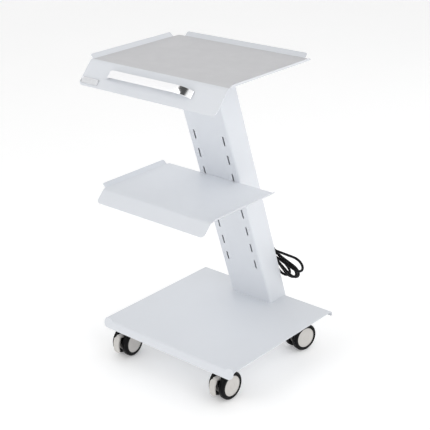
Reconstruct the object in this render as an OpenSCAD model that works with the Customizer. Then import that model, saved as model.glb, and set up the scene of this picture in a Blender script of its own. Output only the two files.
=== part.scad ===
// Three-tier instrument trolley: folded sheet shelves on a leaning slotted column,
// twin-wheel casters, a bow handle and an outlet strip with a tied mains lead.
// X runs to the right, the user stands at -Y, Z is up and the floor is z = 0.

/* [Shelves] */
// Height of the base deck's top above the floor
base_top = 99; // [92:1:130]
// Width of the base deck
base_w = 454; // [440:1:560]
// Depth of the base deck
base_d = 412; // [340:1:500]
// Slot that the middle shelf hangs from, counted from the column's foot
mid_slot = 6; // [5:1:7]
// Width of the middle shelf between its side folds
mid_w = 358; // [280:1:430]
// How far the middle shelf's front crease stands in front of the base's
mid_front = 15; // [0:1:40]
// Height of the top shelf above the base deck
top_rise = 715; // [600:1:860]
// Width of the top shelf between its side folds
top_w = 436; // [340:1:540]
// Depth of the top shelf between its front and back folds
top_d = 313; // [270:1:380]
// How far the top shelf's front crease stands behind the base's
top_back = 9; // [0:1:30]
// Thickness of the shelf sheet
sheet_t = 1.6; // [1.2:0.1:2.5]
// Width of the raised side and back folds
fold_w = 14.5; // [8:0.5:24]
// Angle of the raised folds above the deck
fold_angle = 42; // [20:1:80]
// Length of the top shelf's sloping apron
top_apron = 71; // [60:1:90]
// Slope of the top apron below the deck
top_apron_angle = 48; // [40:1:70]
// Length of the middle shelf's sloping apron
mid_apron = 41; // [25:1:60]
// Slope of the middle apron below the deck
mid_apron_angle = 45; // [35:1:70]
// Length of the base's front lip
base_lip = 22; // [14:1:24]
// Slope of the base's front lip below the deck
base_lip_angle = 70; // [60:1:88]
// Corner radius of the aprons
apron_corner = 12; // [4:1:20]

/* [Column] */
// Width of the column
col_w = 138; // [124:1:180]
// Depth of the column, measured level
col_d = 68; // [54:1:90]
// Forward lean of the column
lean = 17.2; // [8:0.1:20]
// Wall of the column
col_wall = 2; // [1.5:0.1:3]
// Length of a shelf slot
slot_len = 29; // [24:1:36]
// Width of a shelf slot
slot_w = 5; // [4:0.1:7]
// Spacing of the slots along the column
slot_pitch = 57; // [44:1:70]
// Spacing of the two slot rows across the column
slot_rows = 97; // [84:1:104]

/* [Handle and badge] */
// Length of the handle's straight bar
bar_len = 236; // [140:1:300]
// Width of the handle's strip
bar_w = 20; // [14:1:26]
// Thickness of the handle's strip
bar_t = 4; // [3:0.5:6]
// Height of the handle above the apron
bar_rise = 20; // [16:1:28]
// Length of the badge plate
badge_l = 58; // [30:1:80]
// Width of the badge plate
badge_w = 16; // [10:1:22]

/* [Casters] */
// Wheel diameter
wheel_d = 75; // [60:1:80]
// Width of one wheel
wheel_w = 15.5; // [12:0.5:20]
// Gap between the twin wheels
wheel_gap = 18.2; // [15:0.1:26]
// Distance from the swivel axis to the axle
trail = 21.5; // [14:0.5:26]
// Radius of a wheel's disc face
disc_r = 26.6; // [18:0.1:28]
// Radius of the axle
axle_r = 4; // [3:0.5:6]
// Radius of the swivel stem
stem_r = 5.5; // [4:0.5:7]
// Width of the brake pedal's tongue
pedal_w = 17; // [12:1:24]

/* [Outlets and lead] */
// Width of the outlet strip
strip_w = 50; // [50:1:60]
// Depth of the outlet strip
strip_h = 38; // [34:1:44]
// Diameter of the mains lead
cord_d = 7; // [6:0.5:7.5]

/* [Hidden] */
$fn = 64;
RUN_FIT = 0.05;    // radial clearance of a shaft that turns
SLIP = 0.3;        // gap between neighbours that move past each other
SPINS = ["fl", "fr", "rl", "rr"];

// --- column, in a frame whose Z runs up the column and whose Y leaves its back ---
col_depth = col_d * cos(lean);        // depth square to the faces
front_s = col_d * sin(lean);          // the front face meets the base deck here
lip_w = 14;                           // rear lips of the channel
cover_t = 2;
first_slot = front_s + 133;           // middle of the lowest slot
slot_top = front_s + (top_rise - 150) / cos(lean);
slots = floor((slot_top - first_slot - slot_len / 2) / slot_pitch) + 1;
slot_x = slot_rows / 2;
function slot_low(i) = first_slot + i * slot_pitch - slot_len / 2;

// --- heights and the origin, which is the middle of the footprint at the floor ---
shelf_above_slot = 6.7;               // the middle deck's top above its slot's lower end
mid_s = slot_low(mid_slot - 1) + shelf_above_slot;
mid_rise = (mid_s - front_s) * cos(lean);
mid_top = base_top + mid_rise;
top_top = base_top + top_rise;
mid_tip = -mid_front - mid_apron * cos(mid_apron_angle);
top_tip = top_back - top_apron * cos(top_apron_angle);
origin_y = (min(mid_tip, top_tip) + base_d) / 2;

// --- middle shelf, which stops at the column's front face ---
mid_gap = 0.8;
mid_back = base_d - col_d - mid_rise * tan(lean) - mid_gap;
mid_d = mid_back + mid_front;
bracket_t = 3;
bracket_len = 150;
bracket_drop = 60;
hook_drop = 8;
hook_h = 8;
// a square hook in a slot's round end rests this far above the slot's lowest point
hook_rest = slot_w / 2 - sqrt(pow(slot_w / 2, 2) - pow(bracket_t / 2, 2)) + SLIP;

// --- casters ---
wheel_r = wheel_d / 2;
hub_r = disc_r + 0.9;
swivel_x = 174.8;
swivel_front = 49.7;
swivel_rear = base_d - 47;
plate_t = 3;
plate_z = base_top - sheet_t - plate_t;
stem_cap_z = plate_z - 4;
head_top = stem_cap_z - SLIP;
head_r = 13;
stem_low = wheel_r + 10;
body_t = wheel_gap - 2.2;
arm_w = 8;
pivot = [-34, 61];                    // pedal pivot: Y and Z in the caster's frame
pivot_r = 2.5;
wheel_mid = wheel_gap / 2 + wheel_w / 2;
// name, side, swivel distance from the base's front, turn at rest, whether it has a brake
CASTERS = [
    ["fl", -1, swivel_front, 5.5, true],
    ["fr", 1, swivel_front, -1.7, true],
    ["rl", -1, swivel_rear, 9, false],
    ["rr", 1, swivel_rear, -12, false]
];

// --- outlet strip on the column's back ---
outlets = 3;
strip_s = 300;
LEAD_OUT = [0, 13, 266];              // where the lead leaves its strain relief
outlet_pitch = 46;
outlet_r = 19.5;
outlet_deep = 17;
insert_r = outlet_r + 1.5;
switch_w = 22;
switch_l = 30;
strip_end = 16;
rocker_tilt = 8;
rocker_pin_r = 1.5;
strip_l = outlets * outlet_pitch + switch_l + 2 * strip_end;
case_t = 2.4;
gland_r = 9;
gland_n = LEAD_OUT[1];

// --- mains lead: points in the column's frame (across, out of the back, up the column) ---
cord_r = cord_d / 2;
layer = cord_d + 0.2;
tie_at = [20, 19, 150];
neck_w = 2 * cord_d + 0.6;
first_layer = tie_at[1] - 1.5 * layer;
// each lobe of the hank: its direction, how far its tip's middle lies from the tie, tip radius
LOBES = [[-14, 108, 24], [-38, 102, 22], [-49, 98, 22], [-67, 90, 22]];
fold_reach = 40;
fold_r = 23;
LEAD = [LEAD_OUT, [0, 13, 257], [1, 13, 248], [5, 12, 238], [11, 10, 227], [16, 9, 215],
    [18, 8, 203], [17, 8, 191], [15, 8, 180], [14, 8, 170], [16, 8, 160]];
TAIL = [[17, 33, 150], [12, 35, 161], [7, 37, 172], [-1, 38, 180], [-11, 38, 182], [-21, 38, 177],
    [-28, 38, 167], [-30, 38, 154], [-30, 38, 140], [-30, 38, 127], [-30, 38, 114]];
plug_l = 44;
plug_r = 17;
plug_at = TAIL[len(TAIL) - 1];

// --- sheet metal and its fixings ---
apron_bend = 12;
fold_bend = 4;
lap = 0.2;                            // how far a flat reaches into its bend
foot_xs = [-44, 44];
foot_ys = [base_d - col_d + 18, base_d - 24];
bolt_r = 3;
bolt_gap = 0.2;
under_deck = base_top - sheet_t;
fold_back = setback(fold_bend, fold_angle);

// --- frames -----------------------------------------------------------------------

// Base frame: y = 0 is the base deck's front crease
module placed() { translate([0, -origin_y, 0]) children(); }

// Column frame: X across, Y out of the back face, Z up the column from the base deck
module on_column() { placed() translate([0, base_d, base_top]) rotate([lean, 0, 0]) children(); }

// Caster frame: Z on the swivel axis, X along the axle, floor at z = 0
module at_caster(c) {
    placed() translate([c[1] * swivel_x, c[2], 0]) rotate([0, 0, c[3]]) children();
}

function caster(name) = [for (c = CASTERS) if (c[0] == name) c][0];

// Top apron frame: X across, Y up the slope to the crease, Z out of its face
module on_apron() {
    placed() translate([0, top_back, top_top]) rotate([top_apron_angle, 0, 0]) children();
}

// --- sheet metal ------------------------------------------------------------------

// Length that a fold's bend takes from the crease on either side
function setback(r, turn) = r * tan(turn / 2);

// Part of a ring about the origin, from angle a0 to a1 (a1 - a0 under 180)
module ring_sector(r, t, a0, a1) {
    far = 2 * (r + t) / cos((a1 - a0) / 2);
    mid = (a0 + a1) / 2;
    intersection() {
        difference() {
            circle(r + t);
            circle(r);
        }
        polygon([[0, 0], far * [cos(a0), sin(a0)], far * [cos(mid), sin(mid)],
            far * [cos(a1), sin(a1)]]);
    }
}

// Rectangle from y = 0 to y = len with its two far corners rounded
module tongue(w, len, r) {
    translate([-w / 2, 0]) square([w, len - r]);
    translate([-w / 2 + r, 0]) square([w - 2 * r, len]);
    for (s = [-1, 1]) translate([s * (w / 2 - r), len - r]) circle(r);
}

// A folded edge: the deck ends at y = 0 with its top at z = 0 and the sheet turns down
module fold_down(w, r, turn, leg, corner) {
    translate([0, 0, -sheet_t - r]) {
        rotate([90, 0, 90]) linear_extrude(w, center = true)
            ring_sector(r, sheet_t, 90 - turn, 90);
        rotate([-turn, 0, 0]) translate([0, -lap, r]) linear_extrude(sheet_t)
            tongue(w, leg + lap, corner);
    }
}

// The same, with the sheet turned up
module fold_up(w, r, turn, leg, corner) {
    translate([0, 0, r]) {
        rotate([90, 0, 90]) linear_extrude(w, center = true)
            ring_sector(r, sheet_t, -90, turn - 90);
        rotate([turn, 0, 0]) translate([0, -lap, -r - sheet_t]) linear_extrude(sheet_t)
            tongue(w, leg + lap, corner);
    }
}

// Shelf with raised side folds: front crease at y0, back edge at y1, w between the side
// creases; the apron is apron_w wide, and notch is what the raised folds leave at the corners
module folded_shelf(w, y0, y1, z, apron, angle, apron_w, notch, back_fold) {
    front = setback(apron_bend + sheet_t, angle);
    rear = back_fold ? fold_back : 0;
    side_l = y1 - y0 - notch - front;
    translate([0, y0 + front - lap, z - sheet_t]) linear_extrude(sheet_t)
        tongue(w - 2 * fold_back + 2 * lap, y1 - y0 - front - rear + (back_fold ? 2 : 1) * lap, 5);
    for (s = [-1, 1]) translate([s * (w / 2 - fold_back), y0 + front + side_l / 2, z])
        rotate([0, 0, -90 * s]) fold_up(side_l, fold_bend, fold_angle, fold_w - fold_back, 5);
    translate([0, y0 + front, z]) rotate([0, 0, 180])
        fold_down(apron_w, apron_bend, angle, apron - front, apron_corner);
    if (back_fold) translate([0, y1 - rear, z])
        fold_up(w - 2 * notch, fold_bend, fold_angle, fold_w - fold_back, 5);
}

// --- base -------------------------------------------------------------------------

module base_deck() color([0.87, 0.88, 0.9]) placed() {
    bend = 6;
    lip_corner = min(14, base_lip - setback(bend + sheet_t, base_lip_angle) - 1);
    front = setback(bend + sheet_t, base_lip_angle);
    back = setback(bend / 2 + sheet_t, 90);
    difference() {
        translate([-base_w / 2 + SLIP, front - lap, under_deck])
            cube([base_w - 2 * SLIP, base_d - front - back + 2 * lap, sheet_t]);
        for (x = foot_xs, y = foot_ys) translate([x, y, under_deck - 1])
            cylinder(h = sheet_t + 2, r = bolt_r + bolt_gap);
    }
    translate([0, front, base_top]) rotate([0, 0, 180])
        fold_down(base_w, bend, base_lip_angle, base_lip - front, lip_corner);
    translate([0, base_d - back, base_top]) fold_down(base_w, bend / 2, 90, 14 - back, 3);
}

module base_rails() color([0.8, 0.81, 0.83]) placed() {
    rail_w = 24;
    rail_h = 15;
    wall = 1.5;
    rail_y = 26;
    rail_l = base_d - rail_y - 16;
    for (s = [-1, 1]) translate([s * 86 - rail_w / 2, rail_y, under_deck - rail_h]) difference() {
        cube([rail_w, rail_l, rail_h]);
        translate([wall, -1, wall]) cube([rail_w - 2 * wall, rail_l + 2, rail_h]);
    }
}

module caster_plates() color([0.75, 0.76, 0.78]) for (c = CASTERS) at_caster(c)
    rotate([0, 0, -c[3]]) translate([-34, -34, plate_z]) cube([68, 68, plate_t]);

module caster_stems() color([0.7, 0.7, 0.72]) for (c = CASTERS) at_caster(c) {
    translate([0, 0, stem_cap_z]) cylinder(h = plate_z - stem_cap_z, r = 10);
    translate([0, 0, stem_low]) cylinder(h = stem_cap_z - stem_low, r = stem_r);
}

// --- column -----------------------------------------------------------------------

// What stands between the base deck and the top shelf
module between_decks() {
    intersection() {
        on_column() children();
        placed() translate([-base_w, -base_d, base_top])
            cube([2 * base_w, 3 * base_d, top_rise - sheet_t]);
    }
}

col_low = -40;
col_len = top_rise / cos(lean) + 80;
screw_r = 2;
cover_screw_x = col_w / 2 - lip_w / 2;
cover_screw_s = [60, 280, 560, 700];

// Outline of the channel: rounded front edges, square rear edges
module channel_outline(inset) {
    w = col_w - 2 * inset;
    r = 5 - inset;
    translate([0, -cover_t]) rotate([0, 0, 180]) tongue(w, col_depth - cover_t - inset, r);
}

module column() color([0.85, 0.86, 0.88]) between_decks() difference() {
    translate([0, 0, col_low]) linear_extrude(col_len) difference() {
        channel_outline(0);
        difference() {
            channel_outline(col_wall);
            for (s = [-1, 1]) translate([s * (col_w - lip_w) / 2, -cover_t - col_wall / 2])
                square([lip_w, col_wall], center = true);
        }
    }
    for (x = [-slot_x, slot_x], i = [0:slots - 1]) translate([x, -col_depth, slot_low(i)])
        column_slot();
    cover_screw_places() cylinder(h = 20, r = screw_r, center = true);
}

module column_slot() {
    r = slot_w / 2;
    for (z = [r, slot_len - r]) translate([0, 0, z]) rotate([90, 0, 0])
        cylinder(h = 4 * col_wall, r = r, center = true);
    translate([-r, -2 * col_wall, r]) cube([slot_w, 4 * col_wall, slot_len - 2 * r]);
}

module cover_screw_places() {
    for (x = [-cover_screw_x, cover_screw_x], s = cover_screw_s) translate([x, 0, s])
        rotate([-90, 0, 0]) children();
}

module column_cover() color([0.84, 0.85, 0.87]) between_decks() difference() {
    translate([-col_w / 2, -cover_t, col_low]) cube([col_w, cover_t, col_len]);
    cover_screw_places() cylinder(h = 20, r = screw_r + bolt_gap, center = true);
}

module cover_screws() color([0.7, 0.7, 0.72]) on_column() cover_screw_places() {
    cylinder(h = 1.8, r = 3.8);
    translate([0, 0, -cover_t - col_wall - 3]) cylinder(h = cover_t + col_wall + 3, r = screw_r);
}

module foot_plate() color([0.7, 0.7, 0.72]) placed() difference() {
    translate([-col_w / 2 + col_wall, base_d - col_d + 6, base_top])
        cube([col_w - 2 * col_wall, col_d - 18, 4]);
    for (x = foot_xs, y = foot_ys) translate([x, y, base_top - 1]) cylinder(h = 6, r = bolt_r);
}

module foot_bolts() color([0.6, 0.6, 0.62]) placed()
    for (x = foot_xs, y = foot_ys) translate([x, y, under_deck]) {
        cylinder(h = 9, r = bolt_r);
        translate([0, 0, -4]) cylinder(h = 4, r = 5.5, $fn = 6);
    }

// Head plate: level, inside the column's upper end, hung on studs welded under the top deck
head_y = base_d - (top_rise - sheet_t) * tan(lean) - col_d + 7;
head_d = col_d - 20;
stud_xs = [-40, 40];
stud_ys = [head_y + 10, head_y + head_d - 10];
under_top = top_top - sheet_t;
head_t = 4;

module stud_places() placed()
    for (x = stud_xs, y = stud_ys) translate([x, y, under_top]) children();

module head_plate() color([0.7, 0.7, 0.72]) difference() {
    placed() translate([-col_w / 2 + col_wall, head_y, under_top - head_t])
        cube([col_w - 2 * col_wall, head_d, head_t]);
    stud_places() translate([0, 0, -head_t - 1]) cylinder(h = head_t + 2, r = bolt_r + bolt_gap);
}

module shelf_nuts() color([0.6, 0.6, 0.62]) stud_places() translate([0, 0, -head_t - 5])
    difference() {
        cylinder(h = 5, r = 5.5, $fn = 6);
        translate([0, 0, -1]) cylinder(h = 7, r = bolt_r);
    }

// --- top shelf, handle and badge ---------------------------------------------------

handle_x = -3;
handle_d = 34;                         // from the crease down the apron to the strip's middle
boss_x = bar_len / 2 + 7.5;
boss_h = 7;
handle_screw_r = 2;
badge_x = -188;
badge_d = 57;
badge_t = 2.4;

module handle_screw_places() on_apron()
    for (s = [-1, 1]) translate([handle_x + s * boss_x, -handle_d, 0]) children();

module top_shelf() color([0.84, 0.85, 0.87]) {
    difference() {
        placed() folded_shelf(top_w, top_back, top_back + top_d, top_top, top_apron,
            top_apron_angle, top_w + 6, 22, true);
        handle_screw_places() cylinder(h = 10, r = handle_screw_r + bolt_gap, center = true);
    }
    stud_places() translate([0, 0, -14]) cylinder(h = 14, r = bolt_r);
}

function unit(v) = v / norm(v);

// Points of a corner at b, between a and c, rounded to radius r
function round_corner(a, b, c, r, n = 6) =
    let (u = unit(a - b), v = unit(c - b), half = acos(u * v) / 2,
        mid = b + unit(u + v) * r / sin(half), p = b + u * r / tan(half),
        q = b + v * r / tan(half), a0 = atan2(p[1] - mid[1], p[0] - mid[0]),
        turn = atan2((p - mid)[0] * (q - mid)[1] - (p - mid)[1] * (q - mid)[0],
            (p - mid) * (q - mid)))
    [for (i = [0:n]) mid + r * [cos(a0 + turn * i / n), sin(a0 + turn * i / n)]];

// Outline whose corners each have a radius: points are [x, y, radius]
function rounded(pts) = [for (i = [0:len(pts) - 1])
    let (k = len(pts), a = pts[(i + k - 1) % k], b = pts[i], c = pts[(i + 1) % k])
    each b[2] > 0
        ? round_corner([a[0], a[1]], [b[0], b[1]], [c[0], c[1]], b[2])
        : [[b[0], b[1]]]];

// Flat strip bent into a bow: level middle, legs at 45 degrees, ends cut flush with the apron
module handle() color([0.8, 0.8, 0.82]) on_apron() translate([handle_x, -handle_d, 0])
    difference() {
        union() {
            rotate([90, 0, 0]) linear_extrude(bar_w, center = true) polygon(rounded(bow()));
            for (s = [-1, 1]) translate([s * boss_x, 0, 0]) cylinder(h = boss_h, r = 5);
        }
        for (s = [-1, 1]) translate([s * boss_x, 0, -1]) cylinder(h = boss_h - 0.5, r = handle_screw_r);
    }

function bow() =
    let (x = bar_len / 2, foot = x + bar_rise, slip = bar_t * sqrt(2), in = x - bar_t * tan(22.5))
    [[foot, 0, 0], [x, bar_rise, 7], [-x, bar_rise, 7], [-foot, 0, 0],
        [-foot + slip, 0, 0], [-in, bar_rise - bar_t, 3], [in, bar_rise - bar_t, 3],
        [foot - slip, 0, 0]];

module handle_screws() color([0.6, 0.6, 0.62]) handle_screw_places() {
    translate([0, 0, -sheet_t]) cylinder(h = sheet_t + 5, r = handle_screw_r);
    translate([0, 0, -sheet_t - 2]) cylinder(h = 2, r = 4);
}

module badge() color([0.8, 0.8, 0.82]) on_apron() translate([badge_x, -badge_d, 0]) {
    linear_extrude(badge_t - 0.6) pill(badge_l, badge_w, 4);
    translate([0, 0, badge_t - 0.6]) linear_extrude(0.6) pill(badge_l - 2.4, badge_w - 2.4, 3);
}

// Rounded rectangle about the origin
module pill(l, w, r) {
    square([l - 2 * r, w], center = true);
    square([l, w - 2 * r], center = true);
    for (x = [-1, 1], y = [-1, 1]) translate([x * (l / 2 - r), y * (w / 2 - r)]) circle(r);
}

// --- middle shelf ------------------------------------------------------------------

under_mid = mid_top - sheet_t;
function face_y(z) = base_d - col_d - (z - base_top) * tan(lean);

module middle_shelf() color([0.88, 0.89, 0.91]) placed()
    folded_shelf(mid_w, -mid_front, mid_back, mid_top, mid_apron, mid_apron_angle, mid_w + 2, 8,
        false);

// Gusset under the shelf, with two hooks that drop behind the column's front wall
module bracket(side) {
    low = under_mid - bracket_drop;
    placed() translate([side * slot_x - bracket_t / 2, 0, 0]) rotate([90, 0, 90])
        linear_extrude(bracket_t) polygon([[mid_back - bracket_len, under_mid],
            [mid_back - bracket_len, under_mid - 10], [face_y(low) - mid_gap - 12, low],
            [face_y(low) - mid_gap, low], [face_y(under_mid) - mid_gap, under_mid]]);
    on_column() for (i = [mid_slot - 2, mid_slot - 1]) hook(side, slot_low(i) + hook_rest,
        min(hook_h, i < mid_slot - 1 ? hook_h : shelf_above_slot - sheet_t / cos(lean) - 1));
}

module hook(side, s, h) {
    behind = -col_depth + col_wall + SLIP;
    out = -col_depth - mid_gap - 6;
    translate([side * slot_x - bracket_t / 2, 0, 0]) {
        translate([0, out, s]) cube([bracket_t, behind + 3 - out, h]);
        translate([0, behind, s - hook_drop]) cube([bracket_t, 3, hook_drop + h]);
    }
}

module bracket_left() color([0.85, 0.86, 0.88]) bracket(-1);
module bracket_right() color([0.85, 0.86, 0.88]) bracket(1);

// --- casters ------------------------------------------------------------------------

// Stands its children with their Z along the axle
module on_axle() translate([0, -trail, wheel_r]) rotate([0, 90, 0]) children();

module caster_body(name) color([0.1, 0.1, 0.11]) at_caster(caster(name)) {
    braked = caster(name)[4];
    difference() {
        union() {
            rotate([90, 0, 90]) linear_extrude(body_t, center = true) body_outline();
            translate([0, 0, wheel_d + 1]) cylinder(h = head_top - wheel_d - 1, r = head_r);
            translate([0, 0, wheel_r + 8]) cylinder(h = wheel_d - wheel_r, r = body_t / 2);
        }
        on_axle() cylinder(h = 2 * body_t, r = axle_r, center = true);
        translate([0, 0, stem_low - 2]) cylinder(h = 80, r = stem_r + RUN_FIT);
        if (braked) {
            translate([-arm_w / 2 - SLIP, -80, 40]) cube([arm_w + 2 * SLIP, 54, 60]);
            pivot_hole(pivot_r);
        }
    }
}

module body_outline() {
    translate([-trail, wheel_r]) circle(20);
    translate(pivot) circle(7.5);
    polygon([[-trail, wheel_r - 20], [8, wheel_r + 6], [8, wheel_d + 2], [-8, wheel_d + 2],
        [-12, 70], [-33, 68.4], [-41, 58]]);
}

module pivot_hole(r) translate([0, pivot[0], pivot[1]]) rotate([0, 90, 0])
    cylinder(h = body_t + 2, r = r, center = true);

module caster_axle(name) color([0.7, 0.7, 0.72]) at_caster(caster(name)) on_axle()
    cylinder(h = 2 * (wheel_mid + wheel_w / 2 - 5), r = axle_r, center = true);

// A wheel's place on its axle, its disc face outwards; side is -1 on the left
module at_wheel(name, side) at_caster(caster(name)) translate([side * wheel_mid, -trail, wheel_r])
    rotate([0, 90 * side, 0]) children();

module caster_tyre(name, side) color([0.08, 0.08, 0.09]) at_wheel(name, side) rotate_extrude() {
    r = 4;
    translate([hub_r, -wheel_w / 2]) square([wheel_r - r - hub_r, wheel_w]);
    translate([hub_r, -wheel_w / 2 + r]) square([wheel_r - hub_r, wheel_w - 2 * r]);
    for (s = [-1, 1]) translate([wheel_r - r, s * (wheel_w / 2 - r)]) circle(r);
}

module caster_hub(name, side) color([0.78, 0.77, 0.75]) at_wheel(name, side) difference() {
    half = wheel_w / 2;
    rotate_extrude() {
        square([disc_r, 1]);
        translate([0, half - 4]) square([disc_r, 3.6]);
        translate([disc_r - 3, -half + 1]) square([hub_r - disc_r + 3, wheel_w - 2]);
        translate([0, -half]) square([9, wheel_w - 1]);
    }
    translate([0, 0, -half - 1]) cylinder(h = wheel_w - 4, r = axle_r + RUN_FIT);
}

module pedal(name) color([0.78, 0.77, 0.75]) at_caster(caster(name)) difference() {
    union() {
        rotate([90, 0, 90]) linear_extrude(arm_w, center = true) {
            translate(pivot) circle(6);
            polygon([pivot + [0, 5.8], pivot + [-26, 8.5], pivot + [-29, 2], pivot + [-1, -5.8]]);
        }
        intersection() {
            rotate([90, 0, 90]) linear_extrude(pedal_w, center = true) polygon(rounded([
                [-57, 69, 2], [-65, 66, 8], [-71, 52, 20], [-71, 38, 30], [-68, 20, 0],
                [-64, 20, 0], [-66.5, 38, 30], [-66, 51, 18], [-61, 62, 6], [-57, 64.5, 0]]));
            translate([0, 0, 44]) rotate([90, 0, 0]) linear_extrude(100)
                pill(pedal_w, 46, pedal_w / 2 - 1);
        }
    }
    pivot_hole(pivot_r + RUN_FIT);
}

module pedal_pin(name) color([0.7, 0.7, 0.72]) at_caster(caster(name))
    translate([0, pivot[0], pivot[1]]) rotate([0, 90, 0])
        cylinder(h = body_t, r = pivot_r, center = true);

// --- outlet strip -------------------------------------------------------------------

function outlet_s(i) = strip_s + strip_end + switch_l + outlet_pitch * (i + 0.5);
switch_s = strip_s + strip_end - 4 + switch_l / 2;

module outlet_case() color([0.9, 0.9, 0.9]) on_column() difference() {
    translate([0, 0, strip_s]) linear_extrude(strip_l) translate([0, strip_h / 2])
        pill(strip_w, strip_h, 3);
    translate([-strip_w / 2 + case_t, -1, strip_s + case_t])
        cube([strip_w - 2 * case_t, strip_h + 1 - case_t, strip_l - 2 * case_t]);
    for (i = [0:outlets - 1]) translate([0, strip_h - 10, outlet_s(i)]) rotate([-90, 0, 0])
        cylinder(h = 20, r = insert_r);
    translate([-switch_w / 2, strip_h - 10, switch_s - switch_l / 2]) cube([switch_w, 20, switch_l]);
    translate([0, gland_n, strip_s - 1]) cylinder(h = 10, r = gland_r - 2);
}

// One outlet's insert: a round recess with two contact holes
module outlet(i) if (i <= outlets) color([0.2, 0.2, 0.22]) on_column()
    translate([0, strip_h, outlet_s(i - 1)]) rotate([90, 0, 0]) difference() {
        cylinder(h = outlet_deep + 4, r = insert_r);
        translate([0, 0, -1]) cylinder(h = outlet_deep + 1, r = outlet_r);
        for (s = [-1, 1]) translate([s * 9.5, 0, 1]) cylinder(h = outlet_deep + 1, r = 2.6);
    }

module terminal_block() color([0.85, 0.82, 0.7]) on_column()
    translate([-10, case_t + 2, strip_s + strip_l - 22]) cube([20, 12, 18]);

module switch_frame() color([0.12, 0.12, 0.13]) on_column() translate([0, strip_h, switch_s])
    difference() {
        union() {
            translate([-switch_w / 2, -14, -switch_l / 2]) cube([switch_w, 14, switch_l]);
            translate([-switch_w / 2 - 1.2, 0, -switch_l / 2 - 1.2])
                cube([switch_w + 2.4, 1.5, switch_l + 2.4]);
        }
        translate([-7.4, -12, -12]) cube([14.8, 20, 24]);
        translate([0, -3, 0]) rotate([0, 90, 0])
            cylinder(h = 19, r = rocker_pin_r + RUN_FIT, center = true);
    }

// Rocker, drawn pressed to its off side
module rocker() color([0.55, 0.1, 0.08]) on_column() translate([0, strip_h - 3, switch_s])
    rotate([rocker_tilt, 0, 0]) {
        rotate([90, 0, 90]) linear_extrude(14, center = true)
            polygon([[-7, -6], [-7, 6], [3, 10.8], [5.6, 10.8], [4.4, 0], [5.6, -10.8], [3, -10.8]]);
        rotate([0, 90, 0]) cylinder(h = 18, r = rocker_pin_r, center = true);
    }

// --- mains lead ---------------------------------------------------------------------

module cord_gland() color([0.08, 0.08, 0.09]) on_column() translate([0, gland_n, LEAD_OUT[2]]) {
    long = strip_s - LEAD_OUT[2];
    translate([0, 0, long - 8]) cylinder(h = 8, r = gland_r);
    cylinder(h = long - 8, r1 = cord_r + 1.2, r2 = gland_r - 1.5);
    translate([0, 0, long]) cylinder(h = case_t + 3, r = gland_r - 2);
}

// Round tube along a list of points, each ring square to the path there
module tube(pts, r, sides = 12) {
    n = len(pts);
    dirs = [for (i = [0:n - 1]) unit(pts[min(i + 1, n - 1)] - pts[max(i - 1, 0)])];
    rings = [for (i = [0:n - 1])
        let (u = unit(cross(dirs[i], [1, 0.3, 0.2])), v = cross(dirs[i], u))
        for (k = [0:sides - 1]) pts[i] + r * (cos(360 * k / sides) * u + sin(360 * k / sides) * v)];
    walls = [for (i = [0:n - 2], k = [0:sides - 1])
        let (a = i * sides + k, b = i * sides + (k + 1) % sides)
        each [[a, a + sides, b], [b, a + sides, b + sides]]];
    ends = [[for (k = [0:sides - 1]) k], [for (k = [sides - 1:-1:0]) (n - 1) * sides + k]];
    polyhedron(points = rings, faces = concat(walls, ends));
}

module power_cord() color([0.05, 0.05, 0.06]) on_column() {
    tube(LEAD, cord_r);
    tube(TAIL, cord_r);
}

// Outer shape of a lobe: a trapezoid that widens from the neck to a round tip
module lobe_outline(reach, r) {
    polygon([[0, -neck_w / 2], [reach, -r], [reach, r], [0, neck_w / 2]]);
    translate([reach, 0]) circle(r);
}

// The hank: one layer for each turn, a long lobe below the tie and a short fold above it
module cord_hank() color([0.05, 0.05, 0.06]) on_column()
    for (k = [0:len(LOBES) - 1]) let (lobe = LOBES[k])
        translate([tie_at[0], first_layer + (k + 0.5) * layer, tie_at[2]]) rotate([90, 0, 0])
            linear_extrude(layer) rotate(lobe[0]) {
                lobe_outline(lobe[1], lobe[2] + cord_r);
                rotate(180) lobe_outline(fold_reach, fold_r + cord_r);
            }

tie_turn = -42;
tie_band = 1.2;
tie_half = neck_w / 2 + 3.5;
saddle_t = first_layer - layer / 2 - tie_band - 0.4;

module cord_tie() color([0.1, 0.1, 0.1]) on_column() {
    low = saddle_t;
    high = first_layer + 3.5 * layer + 5.5;
    translate([tie_at[0], 0, tie_at[2]]) rotate([0, -tie_turn, 0]) difference() {
        translate([-2.4, low, -tie_half - tie_band]) cube([4.8, high - low, 2 * (tie_half + tie_band)]);
        translate([-5, low + tie_band, -tie_half]) cube([10, high - low - 2 * tie_band, 2 * tie_half]);
    }
}

module tie_saddle() color([0.9, 0.9, 0.9]) on_column() translate([tie_at[0], 0, tie_at[2]])
    rotate([0, -tie_turn, 0]) translate([-9, 0, -13]) cube([18, saddle_t, 26]);

module plug() color([0.06, 0.06, 0.07]) on_column() translate(plug_at) mirror([0, 0, 1]) {
    cylinder(h = 16, r1 = cord_r + 1.2, r2 = 8);
    translate([0, 0, 16]) cylinder(h = 8, r1 = 8, r2 = plug_r);
    translate([0, 0, 24]) cylinder(h = plug_l - 24, r = plug_r);
}

module plug_pins() color([0.75, 0.72, 0.6]) on_column()
    for (s = [-1, 1]) translate(plug_at + [s * 9.5, 0, -plug_l - 19]) cylinder(h = 19, r = 2.4);

// --- what is drawn ------------------------------------------------------------------

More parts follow.
